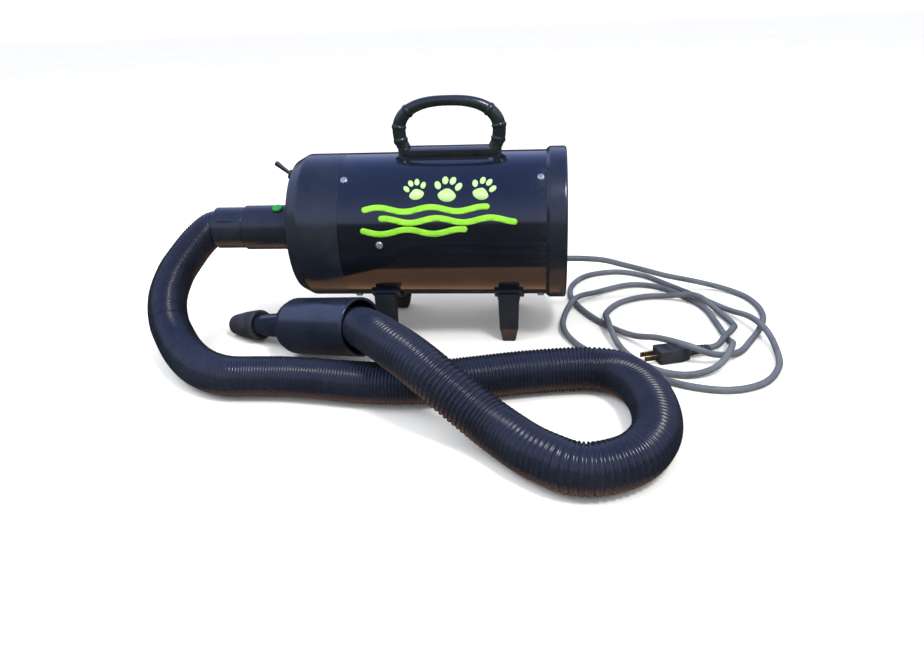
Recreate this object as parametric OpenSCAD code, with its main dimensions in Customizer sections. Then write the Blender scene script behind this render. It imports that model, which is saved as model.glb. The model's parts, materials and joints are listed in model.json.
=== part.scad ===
// Portable pet dryer: a round steel blower body that lies on two foot brackets,
// with a carry handle, a stretch hose that ends in a wand, and a mains lead.
// The origin is on the floor under the middle of the body. The outlet is at -X,
// the air intake at +X, and the side that faces the user is -Y.

/* [Body] */
// Outer diameter of the steel barrel
barrel_d = 180; // [180:0.5:181]
// Length of steel that shows between the two end caps
barrel_len = 246.5; // [240:0.5:250]
// Thickness of the barrel's sheet steel
barrel_wall = 1.2; // [1:0.1:1.4]
// Height of the barrel's axis above the floor
axis_z = 135; // [134:0.5:136]
// Outer diameter of the rear cap's ring
rear_cap_d = 188; // [186:0.5:190]
// Length of the rear cap behind the barrel
rear_cap_len = 24.5; // [24:0.5:26]
// Length of the front cap's straight part
front_cap_len = 50; // [48:1:52]

/* [Outlet] */
// Drop of the outlet's axis below the barrel's axis
outlet_drop = 3; // [2.5:0.5:3.5]
// Outer diameter of the outlet coupling
coupling_d = 57; // [56.5:0.5:58]
// Outer diameter of the hose
hose_d = 45.4; // [45:0.1:45.5]
// Thickness of the hose's wall
hose_wall = 1.6; // [1.4:0.1:2]

/* [Handle] */
// Height of the top of the handle above the floor
handle_top = 293; // [288:1:296]
// Width of the handle's loop
handle_w = 139; // [136:1:142]
// Diameter of the grip at the top of the handle
grip_d = 12.5; // [11:0.5:13]

/* [Feet] */
// Distance between the two foot brackets
foot_pitch = 154; // [150:1:156]
// Distance between the near and the far foot of a bracket
foot_track = 116; // [114:1:118]

/* [Wand] */
// Outer diameter of the wand's sleeve
sleeve_d = 68.6; // [68:0.1:69]
// Length of the wand's sleeve
sleeve_len = 119; // [117:1:120]

/* [Mains lead] */
// Diameter of the mains lead
lead_d = 7.6; // [7:0.1:7.8]

/* [Hidden] */
$fn = 96;

barrel_r = barrel_d / 2;
bore_r = barrel_r - barrel_wall;
// The body is centred between the coupling's mouth and the rear cap's edge.
seam_front = -59.5;
seam_rear = seam_front + barrel_len;
rear_end = seam_rear + rear_cap_len;
shoulder_x = seam_front - front_cap_len;
rim_x = shoulder_x - 15;
rim_r = barrel_r - 8;
neck_x = rim_x - 17;
neck_r = 34;
collar_len = 13;
collar_r = bore_r - 0.1;
outlet_z = axis_z - outlet_drop;
coupling_r = coupling_d / 2;
coupling_mouth = -rear_end;
coupling_root = neck_x - 5.5;
coupling_step = coupling_mouth + 9.8;
cuff_r = 26.5;
spigot_r = 24.4;
cuff_end = coupling_mouth - 30;
rear_cap_r = rear_cap_d / 2;
panel_x = rear_end - 25.5;
panel_r = 86.8;
cover_hole_r = 46.2;
front_screw_x = seam_front + 6.5;
rear_screw_x = seam_rear - 6.5;
screw_angles = [50, 170, 290];
motor_screw_x = -9.5;
motor_screw_angles = [-1, 119, 190];
handle_x = 68.5;
handle_screw_pitch = 90;
handle_base_r = barrel_r + 7.5;
foot_front_x = 64.2 - foot_pitch / 2;
foot_rear_x = 64.2 + foot_pitch / 2;
foot_bolt_angles = [-110, -70];
// The bolts stand off the middle of each bracket, clear of the baffle.
foot_bolt_shift = -11;
rubber_h = 17;
gland_y = 28;
gland_z = 78;
switch_r = 64;
switch_tilt = atan((rim_x - neck_x) / (rim_r - neck_r));
switch_x = rim_x - (rim_r - switch_r) * tan(switch_tilt);
lever_throw = 20;
lever_pivot = 4;
button_x = -155.6;
button_angle = 70;
button_r = 6.4;
hose_r = hose_d / 2;
lead_r = lead_d / 2;
sleeve_r = sleeve_d / 2;
wand_at = [-123.5, -98.8, 33.8];
wand_turn = -30;
wand_tilt = 11;
nozzle_end = -113;
nozzle_bore = 8.5;
plug_at = [352, -112, 8.5];
plug_turn = 18;
blade_pitch = 12.7;

// Middle of the hose, from inside the cuff to inside the wand.
hose_route = [
    [-226, 0, 132], [-243, 0, 132], [-252, -2, 129], [-262, -8, 121.5], [-271, -17, 112],
    [-280, -31, 99], [-286, -46, 88], [-288, -64, 76], [-287, -80, 66], [-283, -95, 57],
    [-277, -109, 48], [-267, -125, 39], [-237, -164, 27.5], [-202, -199, 24], [-166, -219, 24],
    [-133, -220, 24], [-98, -220, 24], [-62, -224, 24], [-19, -231, 24], [16, -234, 24],
    [51, -232, 24], [85, -226, 24], [118, -217, 24], [153, -207, 24], [189, -199, 24],
    [225, -194, 24], [249, -197, 24], [267, -209, 24], [281, -231, 24], [289, -261, 24],
    [291, -295, 24], [287, -327, 24], [277, -353, 24], [262, -374, 24], [243, -387, 24],
    [223, -393, 24], [205, -390, 24], [190, -380, 24], [171, -364, 24], [152, -343, 25],
    [132, -325, 30], [111, -312, 41], [88, -300, 55], [69, -288, 65.5], [48, -269, 72.5],
    [30, -251, 75.5], [14, -231, 75.5], [0, -209, 72], [-12, -186, 66], [-22, -164, 59],
    [-37, -149.5, 53.5], [-72, -128.5, 45.2], [-111.3, -105.8, 36.5]
];

// Middle of the mains lead, from the gland's sleeve to the plug's sleeve.
lead_route = [
    [211, 28, 78], [236, 30, 77], [264, 41, 71], [292, 57, 59], [323, 76, 45], [354, 94, 31],
    [386, 111, 19], [416, 118, 10], [443, 108, 5.12], [462, 82, 4.12], [470, 45, 4.12],
    [467, 5, 4.12], [453, -34, 4.12], [434, -70, 4.12], [412, -106, 4.62], [380, -130, 12],
    [347, -128, 23], [318, -103, 21], [294, -68, 9], [267, -28, 4.62], [240, 22, 4.32],
    [224, 75, 4.12], [226, 128, 4.12], [250, 173, 4.12], [294, 191, 4.12], [333, 174, 4.12],
    [364, 132, 4.12], [398, 78, 4.62], [427, 24, 7], [444, -18, 14], [453, -62, 14], [455, -104, 6],
    [446, -147, 4.62], [420, -186, 4.12], [380, -203, 4.12], [335, -192, 4.12], [295, -162, 4.12],
    [256, -126, 4.12], [222, -80, 4.62], [209, -25, 7], [226, 42, 15], [262, 97, 6],
    [308, 130, 4.62], [346, 124, 4.12], [375, 90, 4.12], [398, 42, 4.12], [404, -12, 4.12],
    [406, -68, 5.12], [401, -116, 18], [378, -152, 8], [342, -168, 4.62], [304, -150, 4.62],
    [276, -98, 6], [265, -32, 15], [268, 16, 6], [288, 56, 4.62], [322, 79, 4.62], [358, 80, 6],
    [391, 57, 15], [414, 20, 6], [423, -24, 6], [412, -67, 18], [400, -86, 17.2], [388.5, -99, 10.5], [375.7, -104.3, 8.5]
];

function unit(v) = v / norm(v);
function fillet(a, b, c, r, n = 5) =
    let (
        u = unit(a - b),
        w = unit(c - b),
        half = acos(u * w) / 2,
        centre = b + unit(u + w) * r / sin(half),
        p = b + u * r / tan(half) - centre,
        q = b + w * r / tan(half) - centre,
        start = atan2(p[1], p[0]),
        turn = (atan2(q[1], q[0]) - start + 540) % 360 - 180
    )
    [for (i = [0:n]) centre + r * [cos(start + turn * i / n), sin(start + turn * i / n)]];
function rounded(points, radii) =
    let (count = len(points))
    [for (i = [0:count - 1])
        each radii[i] > 0
            ? fillet(points[(i + count - 1) % count], points[i], points[(i + 1) % count], radii[i])
            : [points[i]]];

// A smooth curve through the points of a route.
function curve_point(p, i, t) =
    let (
        a = p[max(i - 1, 0)],
        b = p[i],
        c = p[i + 1],
        d = p[min(i + 2, len(p) - 1)]
    )
    0.5 * (2 * b + (c - a) * t + (2 * a - 5 * b + 4 * c - d) * t * t
        + (3 * b - a - 3 * c + d) * t * t * t);
function smooth_route(p, rings) =
    [for (k = [0:rings - 1])
        let (s = (len(p) - 1) * k / (rings - 1), i = min(floor(s), len(p) - 2))
        curve_point(p, i, s - i)];
function heading(p, i) = unit(p[min(i + 1, len(p) - 1)] - p[max(i - 1, 0)]);
function ring_round(centre, along, r, sides) =
    let (
        across = unit(cross(along, [0, 0, 1])),
        up = cross(across, along)
    )
    [for (k = [0:sides - 1])
        centre + r * (cos(360 * k / sides) * across + sin(360 * k / sides) * up)];

// A solid cord along a path, with one radius for each of its rings.
module solid_cord(path, radii, sides) {
    rings = len(path);
    points = [for (i = [0:rings - 1]) each ring_round(path[i], heading(path, i), radii[i], sides)];
    walls = [for (i = [0:rings - 2]) for (k = [0:sides - 1])
        let (a = i * sides + k, b = i * sides + (k + 1) % sides)
        each [[a, b, b + sides], [a, b + sides, a + sides]]];
    first = [for (k = [0:sides - 1]) sides - 1 - k];
    last = [for (k = [0:sides - 1]) (rings - 1) * sides + k];
    polyhedron(points, concat(walls, [first, last]), convexity = 10);
}

// A hollow tube along a path, open at both ends.
module hollow_tube(path, outer, inner, sides) {
    rings = len(path);
    skin = rings * sides;
    points = concat(
        [for (i = [0:rings - 1]) each ring_round(path[i], heading(path, i), outer, sides)],
        [for (i = [0:rings - 1]) each ring_round(path[i], heading(path, i), inner, sides)]);
    walls = [for (i = [0:rings - 2]) for (k = [0:sides - 1])
        let (a = i * sides + k, b = i * sides + (k + 1) % sides)
        each [
            [a, b, b + sides], [a, b + sides, a + sides],
            [skin + a, skin + b + sides, skin + b], [skin + a, skin + a + sides, skin + b + sides]
        ]];
    ends = [for (k = [0:sides - 1])
        let (a = k, b = (k + 1) % sides, last = (rings - 1) * sides)
        each [
            [a, skin + a, skin + b], [a, skin + b, b],
            [last + a, last + b, skin + last + b], [last + a, skin + last + b, skin + last + a]
        ]];
    polyhedron(points, concat(walls, ends), convexity = 10);
}

// Turns a profile, drawn as [radius, x], about the barrel's axis or the outlet's axis.
module spin_x(z = axis_z) {
    translate([0, 0, z])
        rotate([0, 90, 0])
            rotate_extrude()
                children();
}

module rod_x(x0, x1, r, y = 0, z = axis_z) {
    translate([x0, y, z])
        rotate([0, 90, 0])
            cylinder(r = r, h = x1 - x0);
}

// Puts +Z of its children along the radius at this angle above the near side.
module radial(x, angle, z = axis_z) {
    translate([x, 0, z])
        rotate([90 - angle, 0, 0])
            children();
}

module at_switch() {
    translate([switch_x, 0, axis_z + switch_r])
        rotate([0, switch_tilt - 90, 0])
            children();
}

// Puts +X of its children along the wand, with the origin at the sleeve's nozzle end.
module at_wand() {
    translate(wand_at)
        rotate([0, -wand_tilt, wand_turn])
            children();
}

module at_plug() {
    translate(plug_at)
        rotate([0, 0, plug_turn])
            children();
}

module pan_screw(shank_r, shank_len, head_r, head_h) {
    difference() {
        union() {
            translate([0, 0, -shank_len])
                cylinder(r = shank_r, h = shank_len + 0.2, $fn = 32);
            rotate_extrude($fn = 48)
                polygon(rounded(
                    [[0, 0], [head_r, 0], [head_r, head_h], [0, head_h]],
                    [0, 0, head_h * 0.7, 0]));
        }
        for (turn = [0, 90])
            rotate([0, 0, turn + 45])
                translate([-head_r * 0.6, -0.45, head_h - 1.1])
                    cube([head_r * 1.2, 0.9, 2]);
    }
}

module ring_of_screws(x, angles) {
    for (angle = angles)
        radial(x, angle)
            translate([0, 0, barrel_r])
                pan_screw(1.7, 7.5, 4.3, 2.4);
}

module ring_of_holes(x, angles, r) {
    for (angle = angles)
        radial(x, angle)
            translate([0, 0, barrel_r - 12])
                cylinder(r = r, h = 16, $fn = 32);
}

module foot_bolt_holes(x) {
    for (angle = foot_bolt_angles)
        radial(x + foot_bolt_shift, angle)
            translate([0, 0, barrel_r - 10])
                cylinder(r = 2.6, h = 20, $fn = 32);
}

module barrel_shell() {
    color("#15171c")
        difference() {
            rod_x(seam_front, seam_rear, barrel_r);
            rod_x(seam_front - 1, seam_rear + 1, bore_r);
            ring_of_holes(front_screw_x, screw_angles, 1.9);
            ring_of_holes(rear_screw_x, screw_angles, 1.9);
            ring_of_holes(motor_screw_x, motor_screw_angles, 1.9);
            for (side = [-1, 1])
                translate([handle_x + side * handle_screw_pitch / 2, 0, axis_z])
                    cylinder(r = 2.7, h = 100, $fn = 32);
            for (x = [foot_front_x, foot_rear_x])
                foot_bolt_holes(x);
        }
}

module front_cap() {
    wall = 3;
    outer = rounded(
        [
            [collar_r, seam_front + collar_len], [collar_r, seam_front], [barrel_r, seam_front],
            [barrel_r, shoulder_x], [rim_r, rim_x], [neck_r, neck_x], [0, neck_x],
            [0, neck_x + wall], [neck_r, neck_x + wall], [rim_r - 2, rim_x + wall + 1],
            [barrel_r - wall, shoulder_x + 1], [barrel_r - wall, seam_front - 4],
            [collar_r - wall, seam_front], [collar_r - wall, seam_front + collar_len]
        ],
        [0, 0, 0.5, 9, 5, 1.5, 0, 0, 0, 3, 7, 0, 0, 0]);
    color("#2a2f3a")
        difference() {
            union() {
                spin_x()
                    polygon(outer);
                spin_x(outlet_z)
                    polygon(rounded(
                        [[0, neck_x + 1], [30.8, neck_x + 1], [30.8, coupling_root], [0, coupling_root]],
                        [0, 0, 1.2, 0]));
            }
            rod_x(coupling_root - 2, neck_x + 10, 25.2, 0, outlet_z);
            ring_of_holes(front_screw_x, screw_angles, 1.75);
            at_switch()
                translate([0, 0, -12])
                    cylinder(r = 6.1, h = 20, $fn = 48);
        }
}

module outlet_coupling() {
    color("#20242d")
        difference() {
            union() {
                spin_x(outlet_z)
                    polygon(rounded(
                        [
                            [22.2, neck_x + 9], [25, neck_x + 9], [25, coupling_root],
                            [coupling_r, coupling_root], [coupling_r, coupling_step],
                            [spigot_r, coupling_step], [spigot_r, coupling_mouth],
                            [22.2, coupling_mouth]
                        ],
                        [0, 1, 0, 0.8, 1.2, 0, 0.8, 0]));
                radial(button_x, button_angle, outlet_z)
                    translate([0, 0, coupling_r - 3])
                        cylinder(r = button_r + 1.6, h = 3.9, $fn = 64);
            }
            radial(button_x, button_angle, outlet_z)
                translate([0, 0, 23.4])
                    cylinder(r = button_r + 0.06, h = 12, $fn = 48);
        }
}

module lock_button() {
    color("#1faa3c")
        radial(button_x, button_angle, outlet_z)
            rotate_extrude($fn = 48)
                polygon(rounded(
                    [[2.6, 25.6], [button_r, 25.6], [button_r, 31.4], [0, 31.4], [0, 29.2], [2.6, 29.2]],
                    [0, 0, 1, 0, 0, 0]));
}

module lock_spring() {
    turns = 3;
    steps = 14;
    helix = [for (i = [0:turns * steps])
        [1.9 * cos(360 * i / steps), 1.9 * sin(360 * i / steps), 23.75 + 3 * i / (turns * steps)]];
    color("silver")
        radial(button_x, button_angle, outlet_z)
            solid_cord(helix, [for (p = helix) 0.3], 6);
}

module rear_cap() {
    color("#262c38")
        difference() {
            spin_x()
                polygon(rounded(
                    [
                        [collar_r, seam_rear - 16], [collar_r, seam_rear], [barrel_r + 0.6, seam_rear],
                        [rear_cap_r, seam_rear + 4], [rear_cap_r, rear_end], [panel_r + 0.1, rear_end],
                        [panel_r + 0.1, seam_rear - 16]
                    ],
                    [0, 0, 0, 1.5, 3, 1.5, 0]));
            ring_of_holes(rear_screw_x, screw_angles, 1.75);
        }
}

module rear_panel() {
    color("#1c2028")
        difference() {
            spin_x()
                polygon([
                    [panel_r, panel_x - 14], [panel_r, panel_x], [20, panel_x], [20, panel_x - 2],
                    [panel_r - 2, panel_x - 2], [panel_r - 2, panel_x - 14]
                ]);
            rod_x(panel_x - 5, panel_x + 5, cover_hole_r);
            rod_x(panel_x - 5, panel_x + 5, 6.6, gland_y, gland_z);
            ring_of_holes(rear_screw_x, screw_angles, 1.75);
            // Notches that let the filter cover's lugs through.
            for (turn = [0:120:240])
                translate([panel_x - 5, 0, axis_z])
                    rotate([turn + 30, 0, 0])
                        translate([0, -5, cover_hole_r - 3])
                            cube([10, 10, 6]);
        }
}

module filter_cover() {
    skirt_r = cover_hole_r - 0.4;
    face = panel_x + 0.4;
    color("#1c2028") {
        difference() {
            spin_x()
                polygon(rounded(
                    [
                        [0, face], [skirt_r - 2, face], [skirt_r - 2, face - 13],
                        [skirt_r, face - 13], [skirt_r, face], [51, face], [51, face + 3],
                        [0, face + 3]
                    ],
                    [0, 0, 0, 0, 0, 0, 1.5, 0]));
            // Air slots, cut short where they meet the rim.
            for (row = [-4:4])
                if (row != 0)
                    let (y = row * 9, half = sqrt(41 * 41 - y * y))
                        translate([face - 1, y - 2.6, axis_z - half])
                            cube([6, 5.2, 2 * half]);
        }
        translate([face + 2.5, -4, axis_z - 21])
            rotate([90, 0, 90])
                linear_extrude(7)
                    polygon(rounded([[0, 0], [8, 0], [8, 42], [0, 42]], [3, 3, 3, 3]));
        // Lugs that hold the cover behind the panel.
        for (turn = [0:120:240])
            translate([panel_x - 5, 0, axis_z])
                rotate([turn, 0, 0])
                    translate([0, -4, skirt_r - 0.5])
                        cube([2.6, 8, 2.6]);
    }
}

module foam_filter() {
    color("#3c4048")
        rod_x(panel_x - 12, panel_x + 0.2, cover_hole_r - 2.6);
}

// The handle's loop is an oval path that starts and ends in the base plate. Its
// angles crowd together at the raised beads, so that each bead is round.
function power(v, e) = sign(v) * pow(abs(v), e);
function crowded(stops, near) =
    [for (i = [0:len(stops) - 2])
        let (a = stops[i], b = stops[i + 1], count = round((b - a) / 6))
        each concat(
            [a, a + near / 2, a + near],
            [for (k = [1:count - 1]) a + near + (b - a - 2 * near) * k / count],
            [b - near, b - near / 2]),
        stops[len(stops) - 1]];
function bead_rise(a, beads, near) =
    1.1 * max([for (bead = beads) max(0, 1 - pow((a - bead) / near, 2))]);

module carry_handle() {
    beads = [-14, 6, 40, 140, 174, 194];
    near = 3.8;
    angles = crowded(concat([-30], beads, [210]), near);
    centre_z = 252;
    rise = handle_top - grip_d / 2 - centre_z;
    drop = 42;
    reach = handle_w / 2 - 8;
    path = [for (a = angles)
        [handle_x + reach * power(cos(a), 0.8), 0,
            centre_z + (sin(a) < 0 ? drop : rise) * power(sin(a), 0.9)]];
    radii = [for (a = angles)
        grip_d / 2 + 1.9 * pow(abs(cos(a)), 1.5) + bead_rise(a, beads, near)];
    color("#161a1d")
        difference() {
            solid_cord_upright(path, radii, 16);
            rod_x(handle_x - 90, handle_x + 90, handle_base_r);
        }
}

// Curved plate that the handle stands on, screwed to the barrel from inside.
module handle_base() {
    half = handle_screw_pitch / 2;
    width = 38;
    color("#161a1d")
        difference() {
            intersection() {
                difference() {
                    rod_x(handle_x - 80, handle_x + 80, handle_base_r);
                    rod_x(handle_x - 90, handle_x + 90, barrel_r + 0.05);
                }
                translate([handle_x, 0, axis_z]) {
                    translate([-half, -width / 2, 0])
                        cube([2 * half, width, 120]);
                    for (side = [-1, 1])
                        translate([side * half, 0, 0])
                            cylinder(d = width, h = 120);
                }
            }
            for (side = [-1, 1])
                translate([handle_x + side * half, 0, axis_z + 80])
                    cylinder(r = 2.1, h = 16, $fn = 32);
        }
}

// A cord along a path in the XZ plane, so that its rings stand square to that plane.
module solid_cord_upright(path, radii, sides) {
    rings = len(path);
    points = [for (i = [0:rings - 1])
        let (along = heading(path, i), up = cross(along, [0, 1, 0]))
        each [for (k = [0:sides - 1])
            path[i] + radii[i] * (cos(360 * k / sides) * up + sin(360 * k / sides) * [0, 1, 0])]];
    walls = [for (i = [0:rings - 2]) for (k = [0:sides - 1])
        let (a = i * sides + k, b = i * sides + (k + 1) % sides)
        each [[a, b + sides, b], [a, a + sides, b + sides]]];
    first = [for (k = [0:sides - 1]) k];
    last = [for (k = [0:sides - 1]) rings * sides - 1 - k];
    polyhedron(points, concat(walls, [first, last]), convexity = 10);
}

module handle_screws() {
    color("silver")
        for (side = [-1, 1])
            translate([handle_x + side * handle_screw_pitch / 2, 0, axis_z + bore_r - 0.6])
                rotate([180, 0, 0])
                    pan_screw(2, 7, 4.2, 2.8);
}

module foot_bracket(x) {
    leg = [[-13, 62], [-11.5, rubber_h], [11.5, rubber_h], [13, 62]];
    color("#191d20")
        difference() {
            union() {
                translate([x - 18, 0, axis_z])
                    rotate([90, 0, 90])
                        rotate([0, 0, 230])
                            rotate_extrude(angle = 80, $fn = 144)
                                translate([barrel_r + 0.1, 0])
                                    square([4, 36]);
                for (side = [-1, 1])
                    translate([x, side * foot_track / 2 + 9, 0])
                        rotate([90, 0, 0])
                            linear_extrude(18)
                                polygon(leg);
            }
            rod_x(x - 30, x + 30, barrel_r + 0.1);
            for (side = [-1, 1])
                translate([x, side * foot_track / 2, rubber_h - 1])
                    cylinder(r = 3.4, h = 16, $fn = 32);
            foot_bolt_holes(x);
        }
}

module foot_bracket_front() {
    foot_bracket(foot_front_x);
}

module foot_bracket_rear() {
    foot_bracket(foot_rear_x);
}

module rubber_foot(x, side) {
    pad = [[-11.5, rubber_h], [-7.8, 0], [7.8, 0], [11.5, rubber_h]];
    color("#1c1a1a") {
        translate([x, side * foot_track / 2 + 8.5, 0])
            rotate([90, 0, 0])
                linear_extrude(17)
                    polygon(rounded(pad, [0, 2, 2, 0]));
        translate([x, side * foot_track / 2, rubber_h - 1])
            cylinder(r = 3.3, h = 15, $fn = 32);
    }
}

module rubber_foot_front_near() {
    rubber_foot(foot_front_x, -1);
}

module rubber_foot_front_far() {
    rubber_foot(foot_front_x, 1);
}

module rubber_foot_rear_near() {
    rubber_foot(foot_rear_x, -1);
}

module rubber_foot_rear_far() {
    rubber_foot(foot_rear_x, 1);
}

module each_foot_bolt() {
    for (x = [foot_front_x, foot_rear_x])
        for (angle = foot_bolt_angles)
            radial(x + foot_bolt_shift, angle)
                children();
}

module foot_bolts() {
    color("silver")
        each_foot_bolt() {
            translate([0, 0, barrel_r + 4.2])
                cylinder(r = 4.6, h = 3.2, $fn = 6);
            translate([0, 0, barrel_r - 7])
                cylinder(r = 2.4, h = 12, $fn = 32);
        }
}

module foot_nuts() {
    color("silver")
        each_foot_bolt()
            translate([0, 0, bore_r - 4.4])
                difference() {
                    cylinder(r = 4.6, h = 3.8, $fn = 6);
                    translate([0, 0, -1])
                        cylinder(r = 2.45, h = 6, $fn = 32);
                }
}

module front_cap_screws() {
    color("silver")
        ring_of_screws(front_screw_x, screw_angles);
}

module rear_cap_screws() {
    color("silver")
        ring_of_screws(rear_screw_x, screw_angles);
}

module motor_mount_screws() {
    color("silver")
        ring_of_screws(motor_screw_x, motor_screw_angles);
}

// Steel plate that holds the motor and parts the intake side from the outlet side.
module motor_baffle() {
    color("slategray")
        difference() {
            spin_x()
                polygon([
                    [collar_r, -17.5], [collar_r, -1.5], [50, -1.5], [50, -3.5],
                    [collar_r - 2, -3.5], [collar_r - 2, -17.5]
                ]);
            ring_of_holes(motor_screw_x, motor_screw_angles, 1.75);
            rod_x(-10, 5, 4.2, 44, axis_z + 66);
        }
}

module motor_gasket() {
    color("#202020")
        spin_x()
            polygon([[52, -1.5], [76, -1.5], [76, -0.3], [52, -0.3]]);
}

module fan_housing() {
    color("lightgray")
        spin_x()
            polygon(rounded(
                [
                    [20, 58], [72, 58], [72, 1.7], [76, 1.7], [76, -0.3], [70.8, -0.3],
                    [70.8, 56.8], [20, 56.8]
                ],
                [0, 4, 0, 0, 0, 0, 2.8, 0]));
}

module stage_diffuser() {
    color("gray")
        spin_x()
            polygon([
                [12, 23.5], [60, 23.5], [60, 22], [63, 22], [63, 27], [60, 27], [60, 25],
                [12, 25]
            ]);
}

module motor_frame() {
    color("darkgray")
        difference() {
            spin_x()
                polygon([
                    [11.05, 2], [11.05, -6], [13.5, -6], [13.5, 0.5], [46.8, 0.5],
                    [46.8, -98.5], [13.5, -98.5], [13.5, -98], [11.05, -98], [11.05, -107],
                    [13.5, -107], [13.5, -100], [48, -100], [48, 0.5], [70.4, 0.5],
                    [70.4, 2]
                ]);
            // Holes that let the fan's air into the motor, and windows that let it out.
            for (turn = [0:60:300])
                translate([-2, 0, axis_z])
                    rotate([turn, 0, 0])
                        translate([0, 0, 36])
                            rotate([0, 90, 0])
                                cylinder(r = 8, h = 6, $fn = 48);
            for (turn = [45:90:315])
                translate([-96, 0, axis_z])
                    rotate([turn, 0, 0])
                        translate([0, -11, 40])
                            cube([14, 22, 14]);
        }
}

module stator_core() {
    color("dimgray")
        difference() {
            rod_x(-78, -36, 46.6);
            rod_x(-79, -35, 24.6);
            for (side = [-1, 1])
                translate([-80, -18.3, axis_z + side * 33.5 - 4.8])
                    cube([50, 36.6, 9.6]);
        }
}

module field_coils() {
    color("#b87333")
        for (side = [-1, 1])
            translate([-84, 0, axis_z + side * 33.5])
                rotate([90, 0, 90])
                    linear_extrude(54)
                        polygon(rounded([[-18, -4.5], [18, -4.5], [18, 4.5], [-18, 4.5]], [3, 3, 3, 3]));
}

module brush_holders() {
    color("#3a2a1c")
        for (side = [-1, 1])
            translate([-91.5, side * 30, axis_z])
                difference() {
                    cube([11, 27, 11], center = true);
                    cube([7.2, 30, 7.2], center = true);
                }
}

module carbon_brushes() {
    color("#151515")
        for (side = [-1, 1])
            translate([-91.5, side * 24.4, axis_z])
                cube([7, 22, 7], center = true);
}

module ball_bearing(x) {
    color("silver")
        spin_x()
            polygon([
                [4.05, x], [11, x], [11, x + 7], [9, x + 7], [9, x + 6.4], [6.2, x + 6.4],
                [6.2, x + 7], [4.05, x + 7]
            ]);
}

module front_bearing() {
    ball_bearing(-106);
}

module rear_bearing() {
    ball_bearing(-5.5);
}

module motor_shaft() {
    color("silver")
        rod_x(-108, 50, 4);
}

module armature_core() {
    color("gray")
        difference() {
            rod_x(-78, -36, 24);
            rod_x(-79, -35, 4);
            for (turn = [0:30:330])
                translate([-79, 0, axis_z])
                    rotate([turn, 0, 0])
                        translate([0, -1.2, 17])
                            cube([44, 2.4, 8]);
        }
}

module armature_windings() {
    color("#b87333")
        for (x = [-86, -36])
            difference() {
                rod_x(x, x + 8, 20.5);
                rod_x(x - 1, x + 9, 4);
            }
}

module commutator() {
    color("#c98a4b")
        difference() {
            rod_x(-97, -86, 13);
            rod_x(-98, -85, 4);
            for (turn = [0:15:345])
                translate([-98, 0, axis_z])
                    rotate([turn, 0, 0])
                        translate([0, -0.3, 12])
                            cube([13, 0.6, 2]);
        }
}

module impeller(x) {
    color("silver")
        difference() {
            union() {
                rod_x(x, x + 1.4, 58);
                rod_x(x, x + 12, 8);
                for (turn = [0:45:315])
                    translate([x + 1, 0, axis_z])
                        rotate([turn, 0, 0])
                            translate([0, 6, 21])
                                rotate([-18, 0, 0])
                                    cube([9.6, 1, 33]);
                spin_x()
                    polygon([[20, x + 10], [58, x + 10], [58, x + 11.2], [20, x + 11.2]]);
            }
            rod_x(x - 1, x + 14, 4);
        }
}

module impeller_first() {
    impeller(30);
}

module impeller_second() {
    impeller(7);
}

module impeller_spacer() {
    color("silver")
        difference() {
            rod_x(19, 30, 6);
            rod_x(18, 31, 4);
        }
}

module impeller_nut() {
    color("silver")
        difference() {
            translate([42, 0, axis_z])
                rotate([0, 90, 0])
                    cylinder(r = 7.5, h = 6, $fn = 6);
            rod_x(41, 49, 4);
        }
}

// The pin that the toggle turns on, across the switch.
module switch_pivot(r, length) {
    translate([0, length / 2, lever_pivot])
        rotate([90, 0, 0])
            cylinder(r = r, h = length, $fn = 48);
}

module toggle_switch_body() {
    color("#20242a")
        at_switch()
            difference() {
                union() {
                    translate([-13, -8, -26])
                        cube([26, 16, 21.6]);
                    translate([0, 0, -5])
                        cylinder(r = 5.9, h = 12, $fn = 64);
                    for (x = [-10, 0, 10])
                        translate([x - 2.4, -0.5, -33])
                            cube([4.8, 1, 8]);
                }
                translate([0, 0, -2])
                    cylinder(r = 3.9, h = 12, $fn = 48);
                switch_pivot(1.25, 10.8);
            }
}

module switch_nut() {
    color("silver")
        at_switch()
            translate([0, 0, 0.7])
                difference() {
                    cylinder(r = 9, h = 2.6, $fn = 6);
                    translate([0, 0, -1])
                        cylinder(r = 6, h = 5, $fn = 64);
                }
}

module toggle_lever() {
    color("#101214")
        at_switch() {
            translate([0, 0, lever_pivot])
                rotate([0, lever_throw, 0])
                    rotate_extrude($fn = 48)
                        polygon(rounded(
                            [[0, -3], [3.1, -3], [3.1, 1.2], [2.1, 3], [3.4, 25], [0, 25]],
                            [0, 2, 1, 0.5, 2.2, 0]));
            switch_pivot(1.2, 10.4);
        }
}

// Wires that run along the top of the barrel from the gland to the switch.
module wiring_harness() {
    route = [
        [176, gland_y, gland_z], [160, 34, 82], [146, 56, 102], [134, 66, 140], [122, 62, 175],
        [100, 50, 196], [70, 44, 201], [20, 44, 201], [-40, 44, 201], [-80, 38, 200],
        [-98, 26, 196], [-101, 12, 188], [-102, 6, 184]
    ];
    path = smooth_route(route, 36);
    color("#7a3b22")
        solid_cord(path, [for (p = path) 2.6], 10);
}

module cord_gland() {
    color("#14161a")
        difference() {
            union() {
                translate([panel_x, gland_y, gland_z])
                    rotate([0, 90, 0])
                        cylinder(r = 9, h = 5, $fn = 6);
                rod_x(panel_x - 9, panel_x + 1, 6.4, gland_y, gland_z);
                translate([0, gland_y, gland_z])
                    rotate([0, 90, 0])
                        rotate_extrude($fn = 48)
                            polygon(rounded(
                                [
                                    [0, panel_x + 4], [7, panel_x + 4], [6.6, panel_x + 8],
                                    [lead_r + 0.9, rear_end - 0.5], [0, rear_end - 0.5]
                                ],
                                [0, 0, 1, 0.6, 0]));
            }
            rod_x(panel_x - 10, panel_x - 4, lead_r, gland_y, gland_z);
        }
}

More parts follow.
